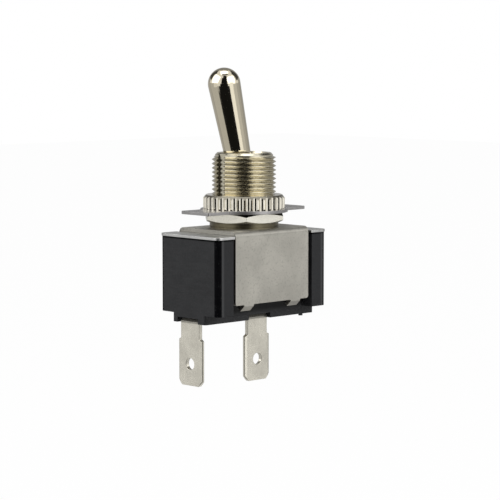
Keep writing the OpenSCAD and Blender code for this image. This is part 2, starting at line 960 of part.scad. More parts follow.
module contact_rocker() {
    color([0.75, 0.5, 0.32])
        on_rocker()
            difference() {
                union() {
                    along_y(rocker_w)
                        rocker_2d();
                    along_y(fork_w + 0.4)
                        circle(r = lug_r);
                }
                rotate([0, half_rock, 0])
                    translate([-contact_x, 0, -cut])
                        cylinder(h = rocker_t + 2 * cut, r = contact_d / 4);
            }
}

// Strip with both arms raised by half the rocking angle
module rocker_2d() {
    for (m = [0, 1])
        mirror([m, 0])
            rotate(half_rock)
                square([arm_l, rocker_t]);
    polygon([
        [0, 0],
        [rocker_t * sin(half_rock) + slip, rocker_t * cos(half_rock)],
        [0, rocker_t / cos(half_rock)],
        [-rocker_t * sin(half_rock) - slip, rocker_t * cos(half_rock)]
    ]);
}

module rocker_saddle() {
    color([0.86, 0.84, 0.76])
        on_rocker()
            along_y(rocker_w)
                difference() {
                    translate([-saddle_l, 0])
                        square([2 * saddle_l, saddle_h + saddle_t]);
                    // Trough that the plunger's tip runs in
                    translate([0, rock_drop - tip_reach + path_r])
                        circle(r = trough_r, $fn = 180);
                    // Seat on the two arms of the rocker
                    for (m = [0, 1])
                        mirror([m, 0])
                            polygon([
                                [-slip, -cut],
                                [-slip, rocker_t / cos(half_rock)],
                                [
                                    saddle_l + cut,
                                    rocker_t / cos(half_rock) + (saddle_l + cut) * tan(half_rock)
                                ],
                                [saddle_l + cut, -cut]
                            ]);
                }
}

module moving_contact() {
    color([0.85, 0.85, 0.86])
        on_rocker()
            rotate([0, half_rock, 0])
                translate([-contact_x, 0, 0]) {
                    cylinder(h = rocker_t + 0.15, r = contact_d / 4 - slip);
                    rotate([180, 0, 0])
                        cylinder(h = contact_h, r = contact_d / 2);
                }
}

base_housing();
cover_plate();
insulator_card();
frame_yoke();
threaded_bushing();
hex_back_nut();
legend_plate();
fluted_face_nut();
line_terminal();
load_terminal();
line_rivet();
load_rivet();
fixed_contact();
bat_lever();
pivot_pin();
plunger_spring();
plunger();
contact_rocker();
rocker_saddle();
moving_contact();
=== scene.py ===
# %% [markdown]
# # A bat-handle panel switch, dressed in Blender
#
# The solids of this switch come packed from the CAD model: base, yoke, bushing, nuts,
# handle, blades and the small pieces inside. They fix every size. This script gives
# them their looks: soft edges, a real screw thread, turned and plated metal, and
# moulded plastic. The real switch is a heavy-duty panel switch: the threaded bushing
# goes up through a panel and the nuts clamp it, and the blades take push-on leads.
#
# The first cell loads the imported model. Every object is in metres, and a piece goes
# where the solid that it stands for is.

import json
import math

import bmesh
import bpy
from mathutils import Matrix, Vector

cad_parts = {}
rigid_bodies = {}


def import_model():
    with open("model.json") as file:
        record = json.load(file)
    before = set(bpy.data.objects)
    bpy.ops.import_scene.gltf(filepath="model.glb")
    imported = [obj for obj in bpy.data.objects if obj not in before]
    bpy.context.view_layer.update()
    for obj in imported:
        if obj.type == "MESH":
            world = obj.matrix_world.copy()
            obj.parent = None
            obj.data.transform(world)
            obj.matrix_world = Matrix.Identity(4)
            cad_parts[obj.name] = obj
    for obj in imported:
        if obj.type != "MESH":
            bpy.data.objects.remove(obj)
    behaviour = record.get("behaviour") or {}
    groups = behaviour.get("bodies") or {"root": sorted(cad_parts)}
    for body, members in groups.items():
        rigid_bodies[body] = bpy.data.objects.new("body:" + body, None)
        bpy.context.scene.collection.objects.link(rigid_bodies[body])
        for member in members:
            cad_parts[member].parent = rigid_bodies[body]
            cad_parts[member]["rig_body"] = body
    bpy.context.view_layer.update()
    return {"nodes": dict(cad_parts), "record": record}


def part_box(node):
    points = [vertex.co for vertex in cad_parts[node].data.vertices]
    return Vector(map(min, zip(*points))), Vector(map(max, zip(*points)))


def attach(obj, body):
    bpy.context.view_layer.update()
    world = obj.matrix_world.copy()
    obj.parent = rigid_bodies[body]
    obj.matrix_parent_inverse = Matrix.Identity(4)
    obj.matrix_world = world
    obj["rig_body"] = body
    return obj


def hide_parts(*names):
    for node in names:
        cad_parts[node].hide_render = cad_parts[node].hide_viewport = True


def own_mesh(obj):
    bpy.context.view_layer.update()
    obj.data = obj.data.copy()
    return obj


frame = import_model()
scene = bpy.context.scene
scene.view_settings.view_transform = "Standard"
print("solids:", len(frame["nodes"]))

# %% [markdown]
# ## Sizes that the pieces share
#
# The levels of the stack on the bushing come from the boxes of the solids, and the
# handle's pivot and throw come from the record's joint. A few sizes that a box can't
# give, such as the thread's pitch, are standard values.

# %% Read the levels and radii from the boxes
MM = 0.001


def low(node, axis):
    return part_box(node)[0][axis]


def high(node, axis):
    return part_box(node)[1][axis]


joints = {joint["name"]: joint for joint in frame["record"]["behaviour"]["joints"]}
mounts = {mount["name"]: mount for mount in frame["record"]["mounts"]}
pivot = Vector(joints["lever_swing"]["pos_m"])
half_throw = math.radians(joints["lever_swing"]["range_deg"][1] / 2)
thread_r = mounts["bushing_thread"]["dims"]["r_mm"] * MM
bushing_top = high("threaded_bushing", 2)
hex_low = low("hex_back_nut", 2)
ring_high = high("fluted_face_nut", 2)
base_bottom = low("base_housing", 2)
lowest = min(low(node, 2) for node in frame["nodes"])
print("bushing top at %.2f mm, thread radius %.2f mm" % (bushing_top / MM, thread_r / MM))

# %% [markdown]
# ## The camera
#
# A long lens, 400 mm away and a little above the middle of the switch, looks along the
# diagonal between the end of the base and its side. A long lens keeps upright edges
# nearly parallel, as in a catalogue picture of a small component.

# %% Place the camera
CAMERA_DISTANCE = 400 * MM
CAMERA_TURN = math.radians(44.04)
CAMERA_DIP = math.radians(5.56)
CAMERA_HEIGHT = 34.525 * MM
SIDE_STEP = 1.119 * MM
FOCAL_LENGTH = 155.27
SENSOR_WIDTH = 36
camera_data = bpy.data.cameras.new("lens")
camera_data.lens = FOCAL_LENGTH
camera_data.sensor_width = SENSOR_WIDTH
camera = bpy.data.objects.new("camera", camera_data)
camera.location = (
    -CAMERA_DISTANCE * math.sin(CAMERA_TURN) + SIDE_STEP * math.cos(CAMERA_TURN),
    -CAMERA_DISTANCE * math.cos(CAMERA_TURN) - SIDE_STEP * math.sin(CAMERA_TURN),
    CAMERA_HEIGHT,
)
camera.rotation_euler = (math.pi / 2 - CAMERA_DIP, 0, -CAMERA_TURN)
scene.collection.objects.link(camera)
scene.camera = camera
print("camera at", [round(value / MM, 1) for value in camera.location])

# %% [markdown]
# ## The room
#
# Metal looks like what it mirrors, so the room matters as much as the metal. It is a
# white sweep with a big soft box on each side and one overhead. Plain curved cards
# shape what the metal mirrors: the side where the camera stands is black, the walls
# low down are grey and the wall high up at the back is dark. The cards are seen only
# by mirror-like rays, so they take no light from anything and never show themselves.

# %% White surroundings
PLAIN_LEVEL = 0.5
WHITE_LEVEL = 1.0
world = bpy.data.worlds.new("white room")
scene.world = world
world.use_nodes = True
room = world.node_tree
room.nodes.clear()
rays = room.nodes.new("ShaderNodeLightPath")
seen = room.nodes.new("ShaderNodeMath")
seen.operation = "MAXIMUM"
through = room.nodes.new("ShaderNodeMath")
through.operation = "MAXIMUM"
plain = room.nodes.new("ShaderNodeBackground")
plain.inputs["Color"].default_value = (1, 1, 1, 1)
plain.inputs["Strength"].default_value = PLAIN_LEVEL
white = room.nodes.new("ShaderNodeBackground")
white.inputs["Color"].default_value = (1, 1, 1, 1)
white.inputs["Strength"].default_value = WHITE_LEVEL
either = room.nodes.new("ShaderNodeMixShader")
room_out = room.nodes.new("ShaderNodeOutputWorld")
room.links.new(rays.outputs["Is Camera Ray"], seen.inputs[0])
room.links.new(rays.outputs["Is Glossy Ray"], seen.inputs[1])
room.links.new(seen.outputs[0], through.inputs[0])
room.links.new(rays.outputs["Is Transmission Ray"], through.inputs[1])
room.links.new(through.outputs[0], either.inputs[0])
room.links.new(plain.outputs[0], either.inputs[1])
room.links.new(white.outputs[0], either.inputs[2])
room.links.new(either.outputs[0], room_out.inputs[0])
print("world nodes:", len(room.nodes))


# %% Soft boxes
def aim(thing, target):
    """Turns a lamp so that it shines at a point."""
    toward = Vector(target) - thing.location
    thing.rotation_euler = toward.to_track_quat("-Z", "Y").to_euler()


def around(turn, distance, height):
    """A point round the switch. Turn 0 is the camera's side, positive is to its right."""
    angle = math.radians(-90 - math.degrees(CAMERA_TURN) + turn)
    return Vector((distance * math.cos(angle), distance * math.sin(angle), height))


def soft_box(name, turn, distance, height, width, tall, glow):
    """A lamp with the brightness that a mirror would show, 1 for white."""
    lamp = bpy.data.lights.new(name, "AREA")
    lamp.shape = "RECTANGLE"
    lamp.size = width
    lamp.size_y = tall
    lamp.energy = glow * math.pi * width * tall
    box = bpy.data.objects.new(name, lamp)
    box.location = around(turn, distance, height)
    aim(box, (0, 0, 0))
    scene.collection.objects.link(box)


BOX_GLOW = 1.5
soft_box("box right", 56, 0.45, 0.25, 0.58, 0.46, BOX_GLOW)
soft_box("box left", -70, 0.45, 0.28, 0.54, 0.46, BOX_GLOW)
soft_box("box above", 0, 0.05, 0.60, 0.40, 0.40, BOX_GLOW)
print("lamps:", [lamp.name for lamp in bpy.data.lights])


# %% Floor and cards
FLOOR_WHITE = 0.97
FLOOR_DROP = 45 * MM
FLOOR_REACH = 1.5


def plain_material(name, color, strength=None):
    """Matt paint, or an even glow where a strength is given."""
    made = bpy.data.materials.new(name)
    made.use_nodes = True
    tree = made.node_tree
    tree.nodes.clear()
    out = tree.nodes.new("ShaderNodeOutputMaterial")
    if strength is None:
        skin = tree.nodes.new("ShaderNodeBsdfDiffuse")
    else:
        skin = tree.nodes.new("ShaderNodeEmission")
        skin.inputs["Strength"].default_value = strength
    skin.inputs["Color"].default_value = (*color, 1)
    tree.links.new(skin.outputs[0], out.inputs[0])
    return made


def floor_material():
    """Pale paint that the camera sees as almost pure white."""
    made = plain_material("pale floor", (0.86, 0.86, 0.86))
    tree = made.node_tree
    paint = next(n for n in tree.nodes if n.type == "BSDF_DIFFUSE")
    out = next(n for n in tree.nodes if n.type == "OUTPUT_MATERIAL")
    glow = tree.nodes.new("ShaderNodeEmission")
    glow.inputs["Color"].default_value = (1, 1, 1, 1)
    path = tree.nodes.new("ShaderNodeLightPath")
    share = tree.nodes.new("ShaderNodeMath")
    share.operation = "MULTIPLY"
    share.inputs[1].default_value = FLOOR_WHITE
    blend = tree.nodes.new("ShaderNodeMixShader")
    tree.links.new(path.outputs["Is Camera Ray"], share.inputs[0])
    tree.links.new(share.outputs[0], blend.inputs[0])
    tree.links.new(paint.outputs[0], blend.inputs[1])
    tree.links.new(glow.outputs[0], blend.inputs[2])
    tree.links.new(blend.outputs[0], out.inputs[0])
    return made


level = lowest - FLOOR_DROP
floor_mesh = bpy.data.meshes.new("floor")
floor_mesh.from_pydata(
    [
        (FLOOR_REACH * x, FLOOR_REACH * y, level)
        for x, y in ((-1, -1), (1, -1), (1, 1), (-1, 1))
    ],
    [],
    [(0, 1, 2, 3)],
)
floor = bpy.data.objects.new("floor", floor_mesh)
scene.collection.objects.link(floor)
floor_mesh.materials.append(floor_material())
floor.visible_glossy = False

FOOT = level + 1 * MM
CARD_STEP = 6


def card(name, start, end, profile, glow):
    """Sweeps a profile of (distance, height) points from one turn to another."""
    steps = max(2, round((end - start) / CARD_STEP))
    points = []
    faces = []
    for step in range(steps + 1):
        turn = start + (end - start) * step / steps
        points += [around(turn, distance, height) for distance, height in profile]
    rows = len(profile)
    for step in range(steps):
        for row in range(rows - 1):
            corner = step * rows + row
            faces.append((corner, corner + rows, corner + rows + 1, corner + 1))
    mesh = bpy.data.meshes.new(name)
    mesh.from_pydata(points, [], faces)
    mesh.materials.append(plain_material(name, (1, 1, 1), glow))
    made = bpy.data.objects.new(name, mesh)
    scene.collection.objects.link(made)
    made.visible_camera = False
    made.visible_diffuse = False
    made.visible_shadow = False
    made.visible_transmission = False


# Distances from the axis: the floor cards' inner edge, the flag's step, wall and back
NEAR = 0.03
FLAG_STEP = 0.19
WALL_AT = 0.30
BACK_AT = 0.60
# Heights: under the gaps, the wall's upper end and the start of the high back
SILL = -0.045
EYE = 0.045
BROW = 0.19
FLAG_GLOW = 0.01
NEAR_FLOOR = [(NEAR, FOOT), (WALL_AT, FOOT)]
WALL = [(WALL_AT, FOOT), (WALL_AT, EYE)]
HIGH_BACK = [(BACK_AT, BROW), (BACK_AT, 0.85)]
# Name, first and last turn in degrees, profile and brightness
CARDS = [
    ("flag foot", -50, 39, [(NEAR, FOOT), (FLAG_STEP, FOOT)], FLAG_GLOW),
    ("flag toe", -38, 39, [(FLAG_STEP, FOOT), (WALL_AT, FOOT), (WALL_AT, SILL)], FLAG_GLOW),
    ("flag low", -28, 27, [(WALL_AT, SILL), (WALL_AT, 0.035)], FLAG_GLOW),
    ("flag middle", -20, 22, [(WALL_AT, 0.035), (WALL_AT, 0.30)], FLAG_GLOW),
    ("flag high", -10, 26, [(WALL_AT, 0.30), (0.28, 0.52)], FLAG_GLOW),
    ("rod overhead", -35, 62, [(0.245, 0.50), (0.134, 0.50)], 0.06),
    ("gap right", 27, 39, [(WALL_AT, SILL), (WALL_AT, EYE)], 1.0),
    ("pale strip", 39, 66, [(NEAR, FOOT), (WALL_AT, FOOT), (WALL_AT, 0.08)], 1.25),
    ("floor right", 66, 120, NEAR_FLOOR, 0.55),
    ("wall right", 66, 95, WALL, 0.68),
    ("wall right, rear", 95, 120, WALL, 0.52),
    ("floor rear", 120, 180, NEAR_FLOOR, 0.40),
    ("wall rear", 120, 180, WALL, 0.42),
    ("gap left, low", -50, -38, [(FLAG_STEP, FOOT), (WALL_AT, FOOT), (WALL_AT, SILL)], 0.5),
    ("gap left", -50, -28, [(WALL_AT, SILL), (WALL_AT, EYE)], 1.0),
    ("floor left", -110, -50, NEAR_FLOOR, 0.60),
    ("wall left", -78, -50, WALL, 0.90),
    ("wall left, side", -110, -78, WALL, 0.60),
    ("floor left, rear", -180, -110, NEAR_FLOOR, 0.46),
    ("wall left, rear", -180, -110, WALL, 0.52),
    ("back, low", 120, 240, [(WALL_AT, EYE), (BACK_AT, BROW)], 0.45),
    ("back, right", 103, 150, HIGH_BACK, 0.07),
    ("back, middle", 150, 210, [(BACK_AT, BROW), (BACK_AT, 1.35)], 0.30),
    ("back, left", 210, 252, HIGH_BACK, 0.07),
]
for name, start, end, profile, glow in CARDS:
    card(name, start, end, profile, glow)
print("floor at %.1f mm" % (level / MM))

# %% [markdown]
# ## Writing shader maths as plain expressions
#
# A finish is a small sum: a noise times an amount, added to a colour or a roughness.
# Wiring each Math node by hand hides that sum. The class below wraps a socket and
# gives it the ordinary operators, so 1 - mask or noise * 0.2 adds the Math nodes by
# itself. Every other node comes from one method of the finish.

# %% A socket that understands + - * /
class Wire:
    """The output of a shader node. The operators add Math nodes to its tree."""

    def __init__(self, tree, socket):
        self.tree = tree
        self.socket = socket

    def math(self, operation, first, second=0.0, clamp=False):
        """Adds a Math node. Each operand is a wire or a number."""
        node = self.tree.nodes.new("ShaderNodeMath")
        node.operation = operation
        node.use_clamp = clamp
        for index, value in enumerate((first, second)):
            if isinstance(value, Wire):
                self.tree.links.new(value.socket, node.inputs[index])
            else:
                node.inputs[index].default_value = value
        return Wire(self.tree, node.outputs[0])

    def __add__(self, other):
        return self.math("ADD", self, other)

    def __radd__(self, other):
        return self.math("ADD", other, self)

    def __sub__(self, other):
        return self.math("SUBTRACT", self, other)

    def __rsub__(self, other):
        return self.math("SUBTRACT", other, self)

    def __mul__(self, other):
        return self.math("MULTIPLY", self, other)

    def __truediv__(self, other):
        return self.math("DIVIDE", self, other)

    def size(self):
        """The value without its sign."""
        return self.math("ABSOLUTE", self)

    def held(self):
        """The value kept between 0 and 1."""
        return self.math("ADD", self, 0.0, clamp=True)


# Sockets of the Mix node that it uses when it mixes colours
MIX_SHARE = 0
MIX_FIRST = 6
MIX_SECOND = 7
MIX_RESULT = 2


class Finish:
    """A surface: one Principled shader and the nodes that vary it."""

    def __init__(self, name, color, metal, rough):
        self.made = bpy.data.materials.new(name)
        self.made.use_nodes = True
        self.tree = self.made.node_tree
        self.tree.nodes.clear()
        self.skin = self.tree.nodes.new("ShaderNodeBsdfPrincipled")
        out = self.tree.nodes.new("ShaderNodeOutputMaterial")
        self.tree.links.new(self.skin.outputs[0], out.inputs[0])
        self.skin.inputs["Base Color"].default_value = (*color, 1)
        self.skin.inputs["Metallic"].default_value = metal
        self.skin.inputs["Roughness"].default_value = rough
        where = self.tree.nodes.new("ShaderNodeTexCoord")
        self.place = Wire(self.tree, where.outputs["Object"])
        self.made.diffuse_color = (*color, 1)

    def add(self, kind, settings=None, **values):
        """Adds a node: its settings first, then the values or links of its sockets."""
        node = self.tree.nodes.new(kind)
        for name, value in (settings or {}).items():
            setattr(node, name, value)
        for name, value in values.items():
            socket = node.inputs[name.replace("_", " ")]
            if isinstance(value, Wire):
                self.tree.links.new(value.socket, socket)
            else:
                socket.default_value = value
        return Wire(self.tree, node.outputs[0])

    def stretched(self, x, y, z):
        """Object coordinates in millimetres, stretched along each axis."""
        return self.add(
            "ShaderNodeMapping", Vector=self.place, Scale=(x / MM, y / MM, z / MM)
        )

    def noise(self, scale, detail=3.0, along=(1, 1, 1), rough=0.55):
        """Soft random value. The scale is in waves to the millimetre."""
        return self.add(
            "ShaderNodeTexNoise",
            Vector=self.stretched(*along),
            Scale=scale,
            Detail=detail,
            Roughness=rough,
        )

    def parts(self):
        """The three parts of the place on the object, in metres."""
        node = self.tree.nodes.new("ShaderNodeSeparateXYZ")
        self.tree.links.new(self.place.socket, node.inputs[0])
        return [Wire(self.tree, node.outputs[i]) for i in range(3)]

    def ramp(self, value, low_edge, high_edge):
        """0 below the low edge, 1 above the high edge, and smooth between them."""
        return self.add(
            "ShaderNodeMapRange",
            {"interpolation_type": "SMOOTHSTEP"},
            Value=value,
            From_Min=low_edge,
            From_Max=high_edge,
        )

    def mix(self, share, first, second):
        """A colour between two colours or colour wires, by a wire from 0 to 1."""
        node = self.tree.nodes.new("ShaderNodeMix")
        node.data_type = "RGBA"
        self.tree.links.new(share.socket, node.inputs[MIX_SHARE])
        for index, value in ((MIX_FIRST, first), (MIX_SECOND, second)):
            if isinstance(value, Wire):
                self.tree.links.new(value.socket, node.inputs[index])
            else:
                node.inputs[index].default_value = (*value, 1)
        return Wire(self.tree, node.outputs[MIX_RESULT])

    def feed(self, **wires):
        """Links wires to the Principled shader's sockets."""
        for name, wire in wires.items():
            self.tree.links.new(wire.socket, self.skin.inputs[name.replace("_", " ")])

    def bump(self, height, depth_mm):
        """Raises the surface by a height from 0 to 1, to a depth in millimetres."""
        self.feed(
            Normal=self.add("ShaderNodeBump", Height=height, Distance=depth_mm * MM, Strength=1.0)
        )


print("shader maths ready")

# %% [markdown]
# ## Moulded thermoset
#
# The base is a charcoal thermoset. Its flat faces carry the fine grain of the mould,
# which spreads the light into an even dark grey. The rounded corners are painted almost
# black, standing in for the dark that they mirror, and a thin painted highlight line lies
# beside them. The seam under the cover and the slope above the foot are painted almost
# black as shade. The long sides stay nearer the dark tone. The grain is a fine noise in
# the bump and the roughness, and masks in object coordinates draw the rest. The corners'
# faces get a second material, a darker copy with a weaker reflection.

# %% Charcoal thermoset
base_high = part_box("base_housing")[1]
yoke_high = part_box("frame_yoke")[1]
CORNER = 1.0 * MM
# The slope between a leg's lower edge and the foot
SLOPE_DROP = 1.0 * MM
SLOPE_TALL = 2.0 * MM
slope_low = base_bottom + SLOPE_DROP
slope_high = slope_low + SLOPE_TALL
SHADE_BLACK = (0.001, 0.001, 0.001)
DUST_GREY = (0.09, 0.09, 0.09)
HIGHLIGHT_GREY = (0.06, 0.06, 0.062)


def charcoal_thermoset(name, reflection, dark, light):
    """Moulded thermoset between a dark and a light tone, with a given reflection."""
    finish = Finish(name, dark, 0.0, 0.45)
    finish.skin.inputs["Specular IOR Level"].default_value = reflection
    x, y, z = finish.parts()
    from_end = base_high.x - x.size()
    at_side = finish.ramp(y.size(), base_high.y - 0.2 * MM, base_high.y - 0.05 * MM)
    # Painted highlight: a thin lighter line beside the rounded corners, on the long sides.
    line = finish.ramp(from_end, CORNER - 0.1 * MM, CORNER + 0.15 * MM)
    line = line - finish.ramp(from_end, CORNER + 0.3 * MM, CORNER + 0.7 * MM)
    grain = finish.noise(3.2, detail=4.0, rough=0.65)
    haze = finish.noise(0.30, detail=5.0, rough=0.65)
    flow = finish.noise(0.8, detail=3.0, along=(0.4, 0.4, 2.2))
    wipes = finish.ramp(finish.noise(1.3, detail=4.0, along=(1.5, 1.5, 0.3)), 0.56, 0.75)
    dust = finish.ramp(finish.noise(5.5, detail=1.0), 0.70, 0.76)
    # Painted shade: the seam under the cover and the slope above the foot are painted almost
    # black.
    seam = finish.ramp(z, base_high.z - 0.40 * MM, base_high.z - 0.15 * MM)
    slope = finish.ramp(z, slope_low + 0.3 * MM, slope_high - 0.3 * MM)
    slope = slope * (1 - finish.ramp(x.size(), yoke_high.x + 0.4 * MM, yoke_high.x + 0.6 * MM))
    black = (seam + slope * 0.85).held()
    tone = finish.ramp(haze * 0.35 + flow * 0.25 + grain * 0.4, 0.32, 0.68)
    color = finish.mix(tone, dark, light)
    color = finish.mix(black, color, SHADE_BLACK)
    color = finish.mix(at_side * 0.5, color, dark)
    color = finish.mix(dust * 0.4, color, DUST_GREY)
    color = finish.mix((line * at_side * 0.5).held(), color, HIGHLIGHT_GREY)
    rough = 0.40 + haze * 0.14 + grain * 0.10 - wipes * 0.08 - line * at_side * 0.1
    finish.feed(Base_Color=color, Roughness=rough, Metallic=black)
    finish.bump(grain + haze * 0.3, 0.02)
    return finish.made


thermoset = charcoal_thermoset(
    "charcoal thermoset", 0.32, (0.005, 0.0055, 0.007), (0.018, 0.0185, 0.020)
)
# The corners' copy is painted darker and reflects less, standing in for the dark that they mirror.
dark_corner_thermoset = charcoal_thermoset(
    "thermoset corner painted dark", 0.03, (0.001, 0.001, 0.0015), (0.003, 0.003, 0.004)
)
print(thermoset.name, "|", dark_corner_thermoset.name)

# %% [markdown]
# ## Zinc-plated sheet
#
# Yoke, cover plate and legend plate are blanked from steel strip and then plated. The
# strip's rolling leaves very fine lines along its length, and the plating lies over
# them as a soft, slightly blotchy satin. Long thin noise gives the lines, and a broad
# noise gives the blotches, both through the tone and the roughness. A terminal's strip
# is painted dark as shadow where it stands in its slot, and the yoke's is painted darker
# as shade at its bends and at the blanked ends of its top.

# %% Sheet finishes
# How the lines of the rolling are stretched: along X, upright, or finer and upright
ROLLED_ALONG = (0.08, 3.0, 3.0)
ROLLED_UP = (3.0, 3.0, 0.08)
DRAWN_UP = (3.0, 3.0, 0.06)


def scaled(color, share):
    """A colour made darker or lighter, up to white."""
    return tuple(min(part * share, 1.0) for part in color)


def plated_sheet(name, color, rough, along, haze_scale=0.25, fleck=1.0, shade=None, metal=1.0):
    """Plated strip. The shade is a function that gives a mask of where the strip is painted dark
    as shade.
    """
    finish = Finish(name, color, metal, rough)
    lines = finish.noise(5.0, detail=3.0, along=along, rough=0.6)
    haze = finish.ramp(finish.noise(haze_scale, detail=5.0, rough=0.6), 0.30, 0.70)
    flecks = finish.ramp(finish.noise(2.6, detail=4.0, rough=0.7), 0.52, 0.66)
    spots = finish.ramp(finish.noise(0.9, detail=4.0), 0.60, 0.72)
    tone = (haze * 0.7 + lines * 0.3).held()
    tone = finish.mix(tone, scaled(color, 0.84), scaled(color, 1.06))
    tone = finish.mix(flecks * 0.22 * fleck, tone, scaled(color, 0.55))
    tone = finish.mix(spots * 0.16, tone, scaled(color, 0.6))
    # Painted shade: where the mask says, the tone goes down to a third of the colour.
    if shade:
        tone = finish.mix(shade(finish), tone, scaled(color, 0.30))
    rough = rough - 0.07 + haze * 0.10 + spots * 0.06 + flecks * 0.04
    finish.feed(Base_Color=tone, Roughness=rough)
    finish.bump(lines * 0.6 + haze * 0.2 + flecks * 0.2 * fleck, 0.008)
    return finish.made


NUB_TALL = 0.35 * MM
foot_level = base_bottom + NUB_TALL


def yoke_shade(finish):
    """Painted shade: the bends at the top, and the blanked ends of the sheet's top."""
    x, y, z = finish.parts()
    bend = finish.ramp(z, yoke_high.z - 1.3 * MM, yoke_high.z - 0.5 * MM)
    bend = bend * finish.ramp(y.size(), yoke_high.y - 0.7 * MM, yoke_high.y - 0.2 * MM)
    end = finish.ramp(x.size(), yoke_high.x - 0.05 * MM, yoke_high.x - 0.02 * MM)
    end = end * finish.ramp(z, yoke_high.z - 1.5 * MM, yoke_high.z - 1.2 * MM)
    return (bend * 0.45 + end * 0.5).held()


def slot_shade(finish):
    """Painted shadow: the part of a terminal that stands in its slot in the base."""
    z = finish.parts()[2]
    return finish.ramp(z, foot_level - 0.15 * MM, foot_level + 0.15 * MM) * 0.9


zinc_yoke = plated_sheet(
    "satin zinc",
    (0.51, 0.492, 0.44),
    0.44,
    ROLLED_UP,
    haze_scale=0.18,
    fleck=2.0,
    shade=yoke_shade,
)
zinc_cover = plated_sheet("zinc cover", (0.60, 0.60, 0.585), 0.36, ROLLED_ALONG)
legend_grey = plated_sheet("dull plated sheet", (0.40, 0.39, 0.385), 0.34, ROLLED_ALONG)
print(zinc_yoke.name, "|", zinc_cover.name, "|", legend_grey.name)

# %% [markdown]
# ## Nickel over brass
#
# Bushing, nuts and handle are turned brass with nickel on top. Nickel is a little
# warmer than chrome, and where the plating is thin the brass shines through in soft
# patches. Turning leaves fine rings round the axis, which a noise in one dimension along
# the axis draws. Under the back nut the bushing's collar is painted dark as shade, with
# the rings streaked between black and brown. Darker copies of the nickel are painted
# shade for faces that lie in shade or mirror dark.

# %% Turned nickel
BRASS_STAIN = (0.40, 0.36, 0.25)
SHADE_STREAK_BLACK = (0.035, 0.03, 0.015)
SHADE_STREAK_BROWN = (0.20, 0.175, 0.11)


def turned_nickel(name, color, rough, ring_depth=0.003, stained=0.25, shade_below=None, metal=1.0):
    """Nickel with turning rings and thin brassy stains, and painted shade under a level."""
    finish = Finish(name, color, metal, rough)
    z = finish.parts()[2]
    rings = finish.add(
        "ShaderNodeTexNoise", {"noise_dimensions": "1D"}, W=z / MM, Scale=14.0, Detail=2.0
    )
    film = finish.noise(0.5, detail=4.0)
    age = finish.ramp(finish.noise(1.6, detail=5.0), 0.45, 0.75)
    tone = finish.mix(age * stained, color, BRASS_STAIN)
    tone = finish.mix(film * 0.3, tone, scaled(color, 0.8))
    rough = rough - 0.03 + film * 0.08 + age * 0.06
    if shade_below is not None:
        # Painted shade: below the level the colour goes dark, streaked along the turning rings.
        painted_shade = 1 - finish.ramp(z, shade_below - 0.02 * MM, shade_below + 0.02 * MM)
        streak = finish.mix(finish.ramp(rings, 0.42, 0.60), SHADE_STREAK_BLACK, SHADE_STREAK_BROWN)
        tone = finish.mix(painted_shade * 0.95, tone, streak)
        rough = rough + painted_shade * 0.10
    finish.feed(Base_Color=tone, Roughness=rough)
    finish.bump(rings * 0.8 + film * 0.2, ring_depth)
    return finish.made


bushing_nickel = turned_nickel("thread nickel", (0.68, 0.635, 0.505), 0.20, 0.003, 0.4, hex_low)
fluted_nickel = turned_nickel("fluted nickel", (0.78, 0.74, 0.64), 0.13, 0.002, 0.25)
# A darker copy, painted half shade for the face nut's top cone faces.
painted_dim_nickel = turned_nickel("nickel painted dim", (0.30, 0.28, 0.23), 0.34, 0.003, 0.3)
# A darker copy, painted deep shade for cones, chamfers and edge roundings that lie in shade or
# mirror dark.
painted_dark_nickel = turned_nickel("nickel painted dark", (0.07, 0.065, 0.05), 0.40, 0.003, 0.3)
hex_nickel = turned_nickel("frosted nickel", (0.79, 0.765, 0.675), 0.20, 0.002, 0.08, metal=0.75)
pin_steel = turned_nickel("pin steel", (0.55, 0.55, 0.54), 0.28, 0.003, 0.1)
spring_steel = turned_nickel("spring wire", (0.45, 0.45, 0.47), 0.25, 0.003, 0.1)
contact_silver = turned_nickel("contact silver", (0.88, 0.87, 0.85), 0.18, 0.003, 0.15)
rivet_brass = turned_nickel("rivet brass", (0.72, 0.60, 0.34), 0.30, 0.003, 0.3)
print("materials so far:", len(bpy.data.materials))


# %% Polished handle
def polished_nickel():
    """Nickel polished to a mirror, with a thin film, wipes and a few nicks."""
    finish = Finish("polished nickel", (0.67, 0.61, 0.48), 1.0, 0.075)
    film = finish.noise(0.35, detail=3.0)
    wipe = finish.noise(2.5, detail=4.0, along=(1.6, 1.6, 0.25))
    nicks = finish.ramp(finish.noise(2.2, detail=6.0, rough=0.7), 0.70, 0.76)
    tone = finish.mix(film * 0.6, (0.70, 0.64, 0.50), (0.56, 0.50, 0.38))
    finish.feed(Base_Color=tone, Roughness=0.05 + film * 0.05 + wipe * 0.04 + nicks * 0.1)
    finish.bump(film * 0.7 + wipe * 0.2 + nicks * 0.1, 0.006)
    return finish.made


handle_nickel = polished_nickel()
print(handle_nickel.name)

# %% [markdown]
# ## Tinned blades, copper, plastics and fibre
#
# The blades are tin-plated brass with a fine grain along the strip, slightly warmer
# than the zinc. Inside are a copper rocker, nylon for the plunger and the saddle, and
# a brown fibre card. Each is its own small recipe from the same parts.

# %% Strip metals
# The blades' strip is painted dark as shadow where it stands in its slot.
blade_tin = plated_sheet(
    "tinned strip",
    (0.75, 0.718, 0.622),
    0.24,
    DRAWN_UP,
    haze_scale=0.3,
    fleck=0.3,
    shade=slot_shade,
    metal=0.7,
)
copper_strip = plated_sheet("copper strip", (0.72, 0.42, 0.26), 0.33, ROLLED_ALONG)
print(blade_tin.name, "|", copper_strip.name)


